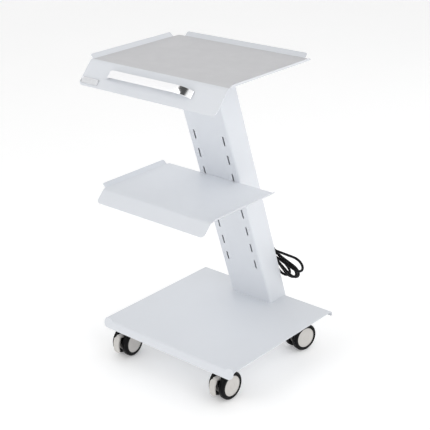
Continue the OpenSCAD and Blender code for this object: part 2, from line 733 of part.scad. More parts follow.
base_deck();
base_rails();
caster_plates();
caster_stems();
column();
column_cover();
cover_screws();
foot_plate();
foot_bolts();
head_plate();
shelf_nuts();
top_shelf();
handle();
handle_screws();
badge();
middle_shelf();
bracket_left();
bracket_right();
outlet_case();
for (i = [1:3]) outlet(i);
terminal_block();
switch_frame();
rocker();
cord_gland();
power_cord();
cord_hank();
cord_tie();
tie_saddle();
plug();
plug_pins();
for (c = SPINS) caster_body(c);
for (c = SPINS) caster_axle(c);
for (c = SPINS) caster_hub(c, -1);
for (c = SPINS) caster_hub(c, 1);
for (c = SPINS) caster_tyre(c, -1);
for (c = SPINS) caster_tyre(c, 1);
for (c = ["fl", "fr"]) pedal(c);
for (c = ["fl", "fr"]) pedal_pin(c);
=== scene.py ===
"""Looks for the three-tier instrument trolley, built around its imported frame."""

import logging
import math
from dataclasses import dataclass, field
from enum import Enum

import bpy
import numpy as np
from mathutils import Matrix, Vector

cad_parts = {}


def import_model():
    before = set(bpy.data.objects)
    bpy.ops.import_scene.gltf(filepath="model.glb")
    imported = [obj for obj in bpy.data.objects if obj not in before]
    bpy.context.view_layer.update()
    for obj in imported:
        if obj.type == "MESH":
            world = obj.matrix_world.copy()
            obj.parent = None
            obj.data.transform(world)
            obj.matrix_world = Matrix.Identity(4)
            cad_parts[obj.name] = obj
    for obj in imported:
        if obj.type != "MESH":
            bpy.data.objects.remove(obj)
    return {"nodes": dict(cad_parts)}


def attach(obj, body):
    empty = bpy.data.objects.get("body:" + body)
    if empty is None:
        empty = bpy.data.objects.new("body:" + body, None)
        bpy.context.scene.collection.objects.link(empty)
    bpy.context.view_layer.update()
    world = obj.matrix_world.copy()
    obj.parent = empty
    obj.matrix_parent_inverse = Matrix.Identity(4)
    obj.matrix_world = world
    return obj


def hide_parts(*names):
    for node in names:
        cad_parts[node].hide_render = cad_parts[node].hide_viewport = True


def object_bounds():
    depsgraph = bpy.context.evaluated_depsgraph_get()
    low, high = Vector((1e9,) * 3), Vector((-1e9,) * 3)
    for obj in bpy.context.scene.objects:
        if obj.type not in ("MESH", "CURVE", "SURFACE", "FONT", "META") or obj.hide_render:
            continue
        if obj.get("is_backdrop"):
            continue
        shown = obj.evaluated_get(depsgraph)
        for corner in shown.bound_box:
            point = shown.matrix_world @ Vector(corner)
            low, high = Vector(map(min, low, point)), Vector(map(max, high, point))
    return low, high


LOG = logging.getLogger("trolley")
MM = 0.001
Array = np.ndarray
Colour = tuple[float, float, float]
Point = tuple[float, float, float]

# Sizes that more than one sub-assembly stands on, in mm.
BASE_TOP = 99.0  # the base deck's top above the floor
BASE_DEPTH = 412.0  # front crease to back crease
LEAN = math.radians(17.2)  # the column's lean towards the front
ORIGIN_Y = 184.0043  # the row frame's middle behind the base's front crease
APRON_ANGLE = math.radians(48.0)  # the top apron's slope
TOP_CREASE = (9.0, 814.0)  # y and z of the top apron's crease

# Sockets of the colour Mix node, which share their names with its other kinds.
MIX_A, MIX_B, MIX_RESULT = 6, 7, 2


def row(points: Array) -> Array:
    """Base-frame millimetres to row-frame metres.

    Args:
        points: Points (..., 3) with y = 0 at the base deck's front crease.

    Returns:
        The same points in the row frame, in metres.
    """
    return (np.asarray(points, float) - (0.0, ORIGIN_Y, 0.0)) * MM


def on_column(points: Array) -> Array:
    """Column frame to row frame: the frame leans back by LEAN about X.

    Args:
        points: Points (..., 3) in mm as across, out of the back, up the column.

    Returns:
        The same points in the row frame, in metres.
    """
    p = np.asarray(points, float)
    y = BASE_DEPTH + p[..., 1] * math.cos(LEAN) - p[..., 2] * math.sin(LEAN)
    z = BASE_TOP + p[..., 1] * math.sin(LEAN) + p[..., 2] * math.cos(LEAN)
    return row(np.stack([p[..., 0], y, z], axis=-1))


def on_apron(points: Array) -> Array:
    """Top apron frame to row frame: Y runs up the slope to the crease, Z out of its face.

    Args:
        points: Points (..., 3) in mm.

    Returns:
        The same points in the row frame, in metres.
    """
    p = np.asarray(points, float)
    c, s = math.cos(APRON_ANGLE), math.sin(APRON_ANGLE)
    y = TOP_CREASE[0] + p[..., 1] * c - p[..., 2] * s
    z = TOP_CREASE[1] + p[..., 1] * s + p[..., 2] * c
    return row(np.stack([p[..., 0], y, z], axis=-1))


# --- meshes ---------------------------------------------------------------------------


def mesh_object(name: str, verts: Array, faces: list[list[int]]) -> bpy.types.Object:
    """Makes a smooth-shaded mesh object at the origin.

    Args:
        name: The object's name.
        verts: Vertices (n, 3) in metres.
        faces: Vertex numbers of each face, outwards.

    Returns:
        The new object, linked to the scene.
    """
    mesh = bpy.data.meshes.new(name)
    mesh.from_pydata(np.asarray(verts, float).tolist(), [], faces)
    mesh.validate()
    mesh.polygons.foreach_set("use_smooth", np.ones(len(mesh.polygons), bool))
    obj = bpy.data.objects.new(name, mesh)
    bpy.context.scene.collection.objects.link(obj)
    return obj


def grid_faces(rows: int, cols: int, wrap_rows: bool, wrap_cols: bool) -> Array:
    """Quads of a rows by cols grid of vertices, numbered row by row.

    Args:
        rows: Number of rows.
        cols: Vertices in a row.
        wrap_rows: Whether the last row joins the first.
        wrap_cols: Whether each row closes on itself.

    Returns:
        Vertex numbers (quads, 4).
    """
    i = np.arange(rows if wrap_rows else rows - 1)[:, None]
    j = np.arange(cols if wrap_cols else cols - 1)[None, :]
    i2, j2 = (i + 1) % rows, (j + 1) % cols
    quads = np.stack([i * cols + j, i2 * cols + j, i2 * cols + j2, i * cols + j2], axis=-1)
    return quads.reshape(-1, 4)


def skin(name: str, rings: Array, closed: bool = False) -> bpy.types.Object:
    """A closed skin over rings of points, with a fan over each end unless it closes on itself.

    Args:
        name: The object's name.
        rings: Points (rings, points, 3) in metres, each ring a closed loop.
        closed: Whether the last ring joins the first.

    Returns:
        The new object.
    """
    count, around = rings.shape[:2]
    faces = grid_faces(count, around, closed, True).tolist()
    verts = rings.reshape(-1, 3)
    if not closed:
        first, last = count * around, count * around + 1
        verts = np.vstack([verts, rings[0].mean(axis=0), rings[-1].mean(axis=0)])
        k = np.arange(around)
        near = np.stack([np.full(around, first), k, (k + 1) % around], axis=-1)
        base = (count - 1) * around
        far = np.stack([np.full(around, last), base + (k + 1) % around, base + k], axis=-1)
        faces += near.tolist() + far.tolist()
    obj = mesh_object(name, verts, faces)
    face_outwards(obj)
    return obj


def face_outwards(obj: bpy.types.Object) -> None:
    """Turns a closed mesh inside out if its signed volume, the sum of a . (b x c), is negative.

    Args:
        obj: The object, whose mesh is closed.
    """
    mesh = obj.data
    mesh.calc_loop_triangles()
    tris = np.empty(len(mesh.loop_triangles) * 3, np.int32)
    mesh.loop_triangles.foreach_get("vertices", tris)
    co = np.empty(len(mesh.vertices) * 3)
    mesh.vertices.foreach_get("co", co)
    a, b, c = co.reshape(-1, 3)[tris.reshape(-1, 3)].transpose(1, 0, 2)
    if float(np.einsum("ij,ij->", a, np.cross(b, c))) < 0:
        mesh.flip_normals()


def lathe(name: str, profile: Array, place: "Place", around: int = 64) -> bpy.types.Object:
    """Turns a profile about a place's Z axis: x = r cos t, y = r sin t.

    Args:
        name: The object's name.
        profile: Points (n, 2) of radius and height in mm, from one pole to the other.
        place: Where the axis stands.
        around: Points round the axis.

    Returns:
        The new object.
    """
    t = np.linspace(0.0, 2.0 * np.pi, around, endpoint=False)
    r, z = profile[:, :1], profile[:, 1:]
    rings = np.stack([r * np.cos(t), r * np.sin(t), np.broadcast_to(z, (len(r), around))], -1)
    return skin(name, place.to_row(rings))


def rounded_profile(points: list[tuple[float, float, float]], steps: int = 5) -> Array:
    """Rounds the corners of an open outline: each corner becomes an arc of its own radius.

    Args:
        points: Corners as x, y, radius.
        steps: Pieces of each arc.

    Returns:
        Points (n, 2).
    """
    out: list[Array] = []
    for i, (x, y, r) in enumerate(points):
        b = np.array([x, y])
        if r <= 0 or i in (0, len(points) - 1):
            out.append(b[None])
            continue
        u = np.array(points[i - 1][:2]) - b
        v = np.array(points[i + 1][:2]) - b
        out.append(corner_arc(b, u, v, r, steps))
    return np.vstack(out)


def corner_arc(b: Array, u: Array, v: Array, r: float, steps: int) -> Array:
    """Points of the arc that rounds a corner: its middle lies r / sin(half angle) from it.

    Args:
        b: The corner.
        u: Direction from it to the point before.
        v: Direction from it to the point after.
        r: The arc's radius.
        steps: Pieces of the arc.

    Returns:
        Points (steps + 1, 2).
    """
    u, v = u / np.linalg.norm(u), v / np.linalg.norm(v)
    half = 0.5 * math.acos(float(np.clip(u @ v, -1.0, 1.0)))
    mid = b + (u + v) / np.linalg.norm(u + v) * r / math.sin(half)
    p, q = b + u * r / math.tan(half) - mid, b + v * r / math.tan(half) - mid
    turn = math.atan2(p[0] * q[1] - p[1] * q[0], float(p @ q))
    t = np.linspace(0.0, turn, steps + 1)[:, None]
    c, s = np.cos(t), np.sin(t)
    return mid + np.hstack([p[0] * c - p[1] * s, p[0] * s + p[1] * c])


def rounded_box_section(w: float, h: float, r: float, steps: int = 4) -> Array:
    """Closed outline of a rectangle with rounded corners, about the origin.

    Args:
        w: Width.
        h: Height.
        r: Corner radius.
        steps: Pieces of each corner's arc.

    Returns:
        Points (4 (steps + 1), 2).
    """
    t = np.linspace(0.0, np.pi / 2.0, steps + 1)
    arc = np.stack([np.cos(t), np.sin(t)], -1) * r
    turns = [np.array([[c, -s], [s, c]]) for c, s in ((1, 0), (0, 1), (-1, 0), (0, -1))]
    mids = [(1, 1), (-1, 1), (-1, -1), (1, -1)]
    return np.vstack([
        arc @ m.T + np.array(k) * (w / 2.0 - r, h / 2.0 - r) for m, k in zip(turns, mids)
    ])


def directions(path: Array) -> Array:
    """Unit direction at each point of a path, from the gradient along it."""
    along = np.gradient(path, axis=0)
    return along / np.linalg.norm(along, axis=1, keepdims=True)


def finer(profile: Array, pieces: int) -> Array:
    """Cuts each straight run p to q of a profile: p + (q - p) k / pieces.

    Args:
        profile: Points (n, 2).
        pieces: Equal pieces made of each run.

    Returns:
        Points ((n - 1) pieces + 1, 2).
    """
    k = np.arange(pieces)[None, :, None] / pieces
    p, q = profile[:-1, None], profile[1:, None]
    return np.vstack([(p + (q - p) * k).reshape(-1, 2), profile[-1:]])


def tube_rings(path: Array, radius: float, around: int = 14) -> Array:
    """Rings square to a path, turned as little as possible from one to the next.

    Each ring's side direction is the last one's with its part along the path taken out.

    Args:
        path: Points (n, 3).
        radius: The tube's radius, in the path's unit.
        around: Points on each ring.

    Returns:
        Points (n, around, 3).
    """
    along = directions(path)
    side = np.zeros_like(along)
    guess = np.cross(along[0], (0.31, 0.17, 0.93))
    for i, d in enumerate(along):
        guess = guess - d * (guess @ d)
        guess /= np.linalg.norm(guess)
        side[i] = guess
    other = np.cross(along, side)
    t = np.linspace(0.0, 2.0 * np.pi, around, endpoint=False)
    ring = np.cos(t)[None, :, None] * side[:, None] + np.sin(t)[None, :, None] * other[:, None]
    return path[:, None] + radius * ring


def even_steps(path: Array, step: float, blur: float) -> Array:
    """Resamples a path to even steps and blurs it, with its ends kept.

    Args:
        path: Points (n, 3).
        step: The new spacing.
        blur: Standard deviation of the blur along the path.

    Returns:
        Points (m, 3).
    """
    gaps = np.linalg.norm(np.diff(path, axis=0), axis=1)
    s = np.concatenate([[0.0], np.cumsum(gaps)])
    new = np.linspace(0.0, s[-1], max(4, int(round(s[-1] / step))) + 1)
    even = np.stack([np.interp(new, s, path[:, k]) for k in range(3)], -1)
    reach = int(math.ceil(3.0 * blur / step))
    if reach < 1:
        return even
    k = np.exp(-0.5 * (np.arange(-reach, reach + 1) * step / blur) ** 2)
    k /= k.sum()
    before = 2.0 * even[0] - even[reach:0:-1]
    after = 2.0 * even[-1] - even[-2:-reach - 2:-1]
    full = np.vstack([before, even, after])
    return np.stack([np.convolve(full[:, a], k, mode="valid") for a in range(3)], -1)


# --- places ---------------------------------------------------------------------------


@dataclass(frozen=True)
class Place:
    """A local frame in the row frame: an origin in metres and three unit axes."""

    origin: Point
    x: Point
    y: Point
    z: Point

    def to_row(self, points: Array) -> Array:
        """Local millimetres to row-frame metres."""
        axes = np.array([self.x, self.y, self.z])
        return np.asarray(self.origin) + (np.asarray(points, float) * MM) @ axes


class Facing(Enum):
    """Which way a piece on the column's back points."""

    UP = 1.0
    DOWN = -1.0


def column_place(at: Point, facing: Facing = Facing.UP) -> Place:
    """A place on the column whose Z runs up or down it.

    Args:
        at: Across, out of the back and up the column, in mm.
        facing: Which way Z runs.

    Returns:
        The place: X to the right, Y out of the back or into it.
    """
    way = facing.value
    out = (0.0, way * math.cos(LEAN), way * math.sin(LEAN))
    up = (0.0, -way * math.sin(LEAN), way * math.cos(LEAN))
    return Place(tuple(on_column(np.array(at))), (1.0, 0.0, 0.0), out, up)


# --- finishes -------------------------------------------------------------------------


class Grain(Enum):
    """How a finish is broken up at small scale."""

    PEEL = "peel"
    BRUSHED = "brushed"
    MOULDED = "moulded"
    POLISHED = "polished"
    RUBBER = "rubber"


@dataclass(frozen=True)
class Finish:
    """A procedural material: base colour, its mottle, the grain and the gloss.

    The scales are in cycles a metre, soften is in mm and depth in metres. The top colour is
    painted shade on level faces that look up.
    """

    name: str
    colour: Colour
    roughness: float
    grain: Grain
    metallic: float = 0.0
    coat: float = 0.0
    coat_roughness: float = 0.1
    mottle: float = 0.04
    rough_spread: float = 0.06
    bump: float = 0.1
    specular: float = 0.5
    # Painted shade: a darker colour for level faces that look up, standing in for the darker
    # reflection on them.
    painted_top_shade: Colour | None = None
    soften: float = 0.0
    cloud_scale: float = 9.0
    gloss_scale: float = 35.0
    depth: float = 0.0004

    def scale(self) -> float:
        """Grain size as cycles in a metre."""
        sizes = {
            Grain.PEEL: 900.0, Grain.BRUSHED: 260.0, Grain.MOULDED: 1400.0,
            Grain.POLISHED: 60.0, Grain.RUBBER: 700.0,
        }
        return sizes[self.grain]

    def build(self) -> bpy.types.Material:
        """Makes the node tree.

        Returns:
            The material: a mottled colour, with painted shade on level tops where given,
            a broken-up roughness and a bumped surface.
        """
        mat = bpy.data.materials.new(self.name)
        mat.use_nodes = True
        tree = Tree(mat)
        shader = tree.shader
        shader.inputs["Metallic"].default_value = self.metallic
        shader.inputs["Coat Weight"].default_value = self.coat
        shader.inputs["Coat Roughness"].default_value = self.coat_roughness
        shader.inputs["Specular IOR Level"].default_value = self.specular
        where = tree.add("ShaderNodeTexCoord").outputs["Object"]
        cloud = tree.noise(where, self.cloud_scale, 3.0)
        fine = tree.noise(self.stretched(tree, where), self.scale(), 2.0)
        dark = tuple(c * (1.0 - self.mottle) for c in self.colour)
        colour = tree.mix(cloud, dark, self.colour)
        # Painted shade: level faces that look up take the darker top colour in place of a darker
        # reflection.
        if self.painted_top_shade is not None:
            colour = tree.mix(tree.flat_tops(), colour, self.painted_top_shade)
        tree.join(colour, shader.inputs["Base Color"])
        low, high = self.roughness - self.rough_spread, self.roughness + self.rough_spread
        gloss = tree.noise(where, self.gloss_scale, 4.0)
        tree.join(tree.spread(gloss, low, high), shader.inputs["Roughness"])
        bump = tree.add("ShaderNodeBump")
        if self.soften > 0.0:
            edge = tree.add("ShaderNodeBevel")
            edge.samples = 6
            edge.inputs["Radius"].default_value = self.soften * MM
            tree.join(edge.outputs["Normal"], bump.inputs["Normal"])
        bump.inputs["Strength"].default_value = self.bump
        bump.inputs["Distance"].default_value = self.depth
        tree.join(fine, bump.inputs["Height"])
        tree.join(bump.outputs["Normal"], shader.inputs["Normal"])
        return mat

    def stretched(self, tree: "Tree", where: bpy.types.NodeSocket) -> bpy.types.NodeSocket:
        """Object coordinates, drawn out along X for a brushed grain.

        Args:
            tree: The material's tree.
            where: Object coordinates.

        Returns:
            The coordinates for the fine grain.
        """
        if self.grain is not Grain.BRUSHED:
            return where
        node = tree.add("ShaderNodeMapping")
        node.inputs["Scale"].default_value = (0.06, 1.0, 1.0)
        tree.join(where, node.inputs["Vector"])
        return node.outputs["Vector"]


class Tree:
    """A material's node tree, with short ways to add what the finishes need."""

    def __init__(self, mat: bpy.types.Material) -> None:
        """Finds the shader of a new material."""
        self.tree = mat.node_tree
        self.shader = self.tree.nodes["Principled BSDF"]

    def add(self, kind: str) -> bpy.types.Node:
        """Adds a node."""
        return self.tree.nodes.new(kind)

    def join(self, source: bpy.types.NodeSocket, target: bpy.types.NodeSocket) -> None:
        """Links two sockets."""
        self.tree.links.new(source, target)

    def noise(
        self, where: bpy.types.NodeSocket, scale: float, detail: float
    ) -> bpy.types.NodeSocket:
        """Noise in space.

        Args:
            where: Coordinates in metres.
            scale: Cycles in a metre.
            detail: Finer layers laid over it.

        Returns:
            Its value, from 0 to 1.
        """
        node = self.add("ShaderNodeTexNoise")
        node.inputs["Scale"].default_value = scale
        node.inputs["Detail"].default_value = detail
        self.join(where, node.inputs["Vector"])
        return node.outputs["Fac"]

    def spread(
        self, value: bpy.types.NodeSocket, low: float, high: float
    ) -> bpy.types.NodeSocket:
        """Spreads the middle of a noise, 0.3 to 0.7, over a range.

        Args:
            value: The noise.
            low: What 0.3 becomes.
            high: What 0.7 becomes.

        Returns:
            The spread value.
        """
        node = self.add("ShaderNodeMapRange")
        node.inputs["From Min"].default_value = 0.3
        node.inputs["From Max"].default_value = 0.7
        node.inputs["To Min"].default_value = low
        node.inputs["To Max"].default_value = high
        self.join(value, node.inputs["Value"])
        return node.outputs["Result"]

    def mix(self, factor: bpy.types.NodeSocket, a: object, b: object) -> bpy.types.NodeSocket:
        """Mixes two colours.

        Args:
            factor: How much of the second.
            a: The first, a colour or a socket.
            b: The second, a colour or a socket.

        Returns:
            The mixed colour.
        """
        node = self.add("ShaderNodeMix")
        node.data_type = "RGBA"
        self.join(factor, node.inputs["Factor"])
        for value, socket in ((a, node.inputs[MIX_A]), (b, node.inputs[MIX_B])):
            if isinstance(value, bpy.types.NodeSocket):
                self.join(value, socket)
            else:
                socket.default_value = (*value, 1.0)
        return node.outputs[MIX_RESULT]

    def flat_tops(self) -> bpy.types.NodeSocket:
        """One on level faces that look up, nought elsewhere: where the painted shade goes.

        Returns:
            The mask, read from the face's own direction.
        """
        split = self.add("ShaderNodeSeparateXYZ")
        self.join(self.add("ShaderNodeNewGeometry").outputs["True Normal"], split.inputs[0])
        node = self.add("ShaderNodeMapRange")
        node.inputs["From Min"].default_value = 0.98
        node.inputs["From Max"].default_value = 0.999
        self.join(split.outputs["Z"], node.inputs["Value"])
        return node.outputs["Result"]


FINISHES: dict[str, Finish] = {
    "white_paint": Finish(
        "white_paint", (0.715, 0.738, 0.775), 0.42, Grain.PEEL, mottle=0.02, bump=0.12,
    ),
    # The top shelf's paint, with a painted shade on its level faces that look up.
    "paint_shaded_top": Finish(
        "paint_shaded_top", (0.715, 0.738, 0.775), 0.42, Grain.PEEL, mottle=0.02, bump=0.12,
        painted_top_shade=(0.535, 0.535, 0.55),
    ),
    "zinc_steel": Finish(
        "zinc_steel", (0.62, 0.62, 0.64), 0.34, Grain.BRUSHED, metallic=1.0, mottle=0.12, bump=0.15,
    ),
    "chrome": Finish(
        "chrome", (0.95, 0.95, 0.96), 0.13, Grain.BRUSHED, metallic=1.0, mottle=0.03,
        rough_spread=0.04, bump=0.04,
    ),
    "bright_plate": Finish(
        "bright_plate", (0.72, 0.73, 0.75), 0.22, Grain.BRUSHED, metallic=1.0, mottle=0.1,
        bump=0.05,
    ),
    "white_plastic": Finish(
        "white_plastic", (0.78, 0.78, 0.77), 0.3, Grain.MOULDED, bump=0.05, soften=1.0,
    ),
    "black_plastic": Finish(
        "black_plastic", (0.022, 0.022, 0.024), 0.45, Grain.MOULDED, mottle=0.2, bump=0.25,
    ),
    "red_plastic": Finish(
        "red_plastic", (0.42, 0.02, 0.015), 0.28, Grain.MOULDED, mottle=0.1, bump=0.05,
    ),
    "black_cord": Finish(
        "black_cord", (0.004, 0.004, 0.005), 0.26, Grain.RUBBER, mottle=0.2, bump=0.05,
        specular=0.14,
    ),
    "brass_pins": Finish(
        "brass_pins", (0.7, 0.66, 0.56), 0.25, Grain.POLISHED, metallic=1.0, mottle=0.1, bump=0.05,
    ),
    "gloss_black": Finish(
        "gloss_black", (0.004, 0.004, 0.005), 0.2, Grain.MOULDED, coat=0.03, mottle=0.2, bump=0.04,
        specular=0.14, soften=1.6,
    ),
    "grey_plastic": Finish(
        "grey_plastic", (0.585, 0.565, 0.54), 0.34, Grain.MOULDED, mottle=0.06, bump=0.06,
        soften=1.0,
    ),
    "tread": Finish(
        "tread", (0.004, 0.004, 0.0045), 0.33, Grain.RUBBER, mottle=0.25, bump=0.08, specular=0.11,
    ),
}


class Palette:
    """Builds each finish once and puts it on pieces."""

    def __init__(self) -> None:
        """Starts with no material built."""
        self.made: dict[str, bpy.types.Material] = {}

    def get(self, name: str) -> bpy.types.Material:
        """The material of that name, built when first asked for."""
        if name not in self.made:
            self.made[name] = FINISHES[name].build()
        return self.made[name]

    def dress(self, obj: bpy.types.Object, name: str) -> None:
        """Gives an object one material all over."""
        obj.data.materials.clear()
        obj.data.materials.append(self.get(name))


@dataclass
class Bench:
    """What every sub-assembly needs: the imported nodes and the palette."""

    nodes: dict[str, bpy.types.Object]
    palette: Palette = field(default_factory=Palette)

    def piece(
        self, obj: bpy.types.Object, finish: str, slot: str, body: str, *replaced: str
    ) -> bpy.types.Object:
        """Dresses a new piece and rides it on its body.

        Args:
            obj: The piece.
            finish: Its finish's name.
            slot: A material slot's name; not used.
            body: The body it moves with.
            replaced: CAD nodes it stands for.

        Returns:
            The piece.
        """
        self.palette.dress(obj, finish)
        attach(obj, body)
        if replaced:
            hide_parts(*replaced)
        LOG.info("%s on %s", obj.name, body)
        return obj

    def paint(self, finish: str, *names: str) -> None:
        """Gives CAD nodes a finish."""
        for name in names:
            self.palette.dress(self.nodes[name], finish)


# --- camera, light and floor ----------------------------------------------------------


@dataclass
class Studio:
    """A pale floor, soft lamps and the camera, in metres."""

    eye: Point = (1.7314, -1.9256, 1.4847)
    azimuth: float = math.radians(41.70)
    elevation: float = math.radians(22.77)
    roll: float = math.radians(-1.49)
    lens: float = 91.1
    sensor: float = 36.0
    aim: Point = (0.0, 0.0, 0.45)
    floor_half: float = 9.0
    floor_glow: float = 0.2
    sky_strength: float = 0.99
    panel: tuple[float, float] = (0.54, 0.84)
    panel_dark: float = 0.08
    panel_edge: tuple[float, float] = (0.34, 0.56)
    panel_squash: float = 0.6

    def camera(self) -> None:
        """Stands the camera at its eye, looking along its azimuth and elevation."""
        ca, sa = math.cos(self.azimuth), math.sin(self.azimuth)
        ce, se = math.cos(self.elevation), math.sin(self.elevation)
        back = Vector((sa * ce, -ca * ce, se))
        right = Vector((ca, sa, 0.0))
        up = back.cross(right)
        cr, sr = math.cos(self.roll), math.sin(self.roll)
        across, rise = right * cr + up * sr, up * cr - right * sr
        cam = bpy.data.cameras.new("camera")
        cam.lens = self.lens
        cam.sensor_width = self.sensor
        obj = bpy.data.objects.new("camera", cam)
        basis = Matrix((across, rise, back)).transposed().to_4x4()
        obj.matrix_world = Matrix.Translation(self.eye) @ basis
        bpy.context.scene.collection.objects.link(obj)
        bpy.context.scene.camera = obj

    def lamp(self, name: str, at: Point, size: float, power: float) -> None:
        """Adds a square area lamp that looks towards the trolley.

        Args:
            name: The lamp's name.
            at: Where it stands.
            size: Its side in metres.
            power: Its power in watts.
        """
        light = bpy.data.lights.new(name, "AREA")
        light.size = size
        light.energy = power
        obj = bpy.data.objects.new(name, light)
        obj.location = at
        obj.rotation_euler = (Vector(self.aim) - Vector(at)).to_track_quat("-Z", "Y").to_euler()
        bpy.context.scene.collection.objects.link(obj)

    def sky(self, tree: bpy.types.NodeTree) -> None:
        """A white world with one soft dark panel, for bright metal to show its bends by.

        The panel stands above the front. Its darkness falls off with the length of
        (x, k t), where t is the direction's part along panel and k is panel_squash.

        Args:
            tree: The world's node tree.
        """
        where = tree.nodes.new("ShaderNodeTexCoord").outputs["Generated"]
        long_axis = tree.nodes.new("ShaderNodeVectorMath")
        long_axis.operation = "DOT_PRODUCT"
        squash = self.panel_squash
        long_axis.inputs[1].default_value = (0.0, squash * self.panel[1], squash * self.panel[0])
        split = tree.nodes.new("ShaderNodeSeparateXYZ")
        both = tree.nodes.new("ShaderNodeCombineXYZ")
        away = tree.nodes.new("ShaderNodeVectorMath")
        away.operation = "LENGTH"
        fade = tree.nodes.new("ShaderNodeMapRange")
        fade.interpolation_type = "SMOOTHSTEP"
        fade.inputs["From Min"].default_value = self.panel_edge[0]
        fade.inputs["From Max"].default_value = self.panel_edge[1]
        fade.inputs["To Min"].default_value = self.panel_dark * self.sky_strength
        fade.inputs["To Max"].default_value = self.sky_strength
        ground = tree.nodes["Background"]
        ground.inputs["Color"].default_value = (1.0, 1.0, 1.0, 1.0)
        for source, target in (
            (where, long_axis.inputs[0]), (where, split.inputs[0]),
            (split.outputs["X"], both.inputs["X"]), (long_axis.outputs["Value"], both.inputs["Y"]),
            (both.outputs["Vector"], away.inputs[0]), (away.outputs["Value"], fade.inputs["Value"]),
            (fade.outputs["Result"], ground.inputs["Strength"]),
        ):
            tree.links.new(source, target)

    def build(self) -> None:
        """Makes the world and the lamps, then the floor."""
        world = bpy.data.worlds.new("studio")
        world.use_nodes = True
        self.sky(world.node_tree)
        bpy.context.scene.world = world
        bpy.context.scene.view_settings.view_transform = "Standard"
        self.lamp("key", (-1.2, -2.4, 2.6), 1.8, 20.0)
        self.lamp("front", (0.2, -3.0, 0.9), 2.4, 10.5)
        self.lamp("fill", (2.6, -0.6, 1.8), 2.0, 14.0)
        self.lamp("back", (0.4, 2.6, 2.2), 2.0, 6.0)
        self.floor()

    def floor(self) -> None:
        """Lays the floor, which glows a little so that it stays pale."""
        corners = np.array([[-1, -1, 0], [1, -1, 0], [1, 1, 0], [-1, 1, 0]]) * self.floor_half
        floor = mesh_object("floor", corners, [[0, 1, 2, 3]])
        mat = bpy.data.materials.new("floor")
        mat.use_nodes = True
        tree = Tree(mat)
        where = tree.add("ShaderNodeTexCoord").outputs["Object"]
        pale = tree.mix(tree.noise(where, 3.0, 2.0), (0.93,) * 3, (0.95,) * 3)
        tree.join(pale, tree.shader.inputs["Base Color"])
        tree.shader.inputs["Roughness"].default_value = 0.7
        tree.shader.inputs["Emission Color"].default_value = (1.0, 1.0, 1.0, 1.0)
        tree.shader.inputs["Emission Strength"].default_value = self.floor_glow
        floor.data.materials.append(mat)
        floor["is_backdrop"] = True


# --- mains lead -----------------------------------------------------------------------


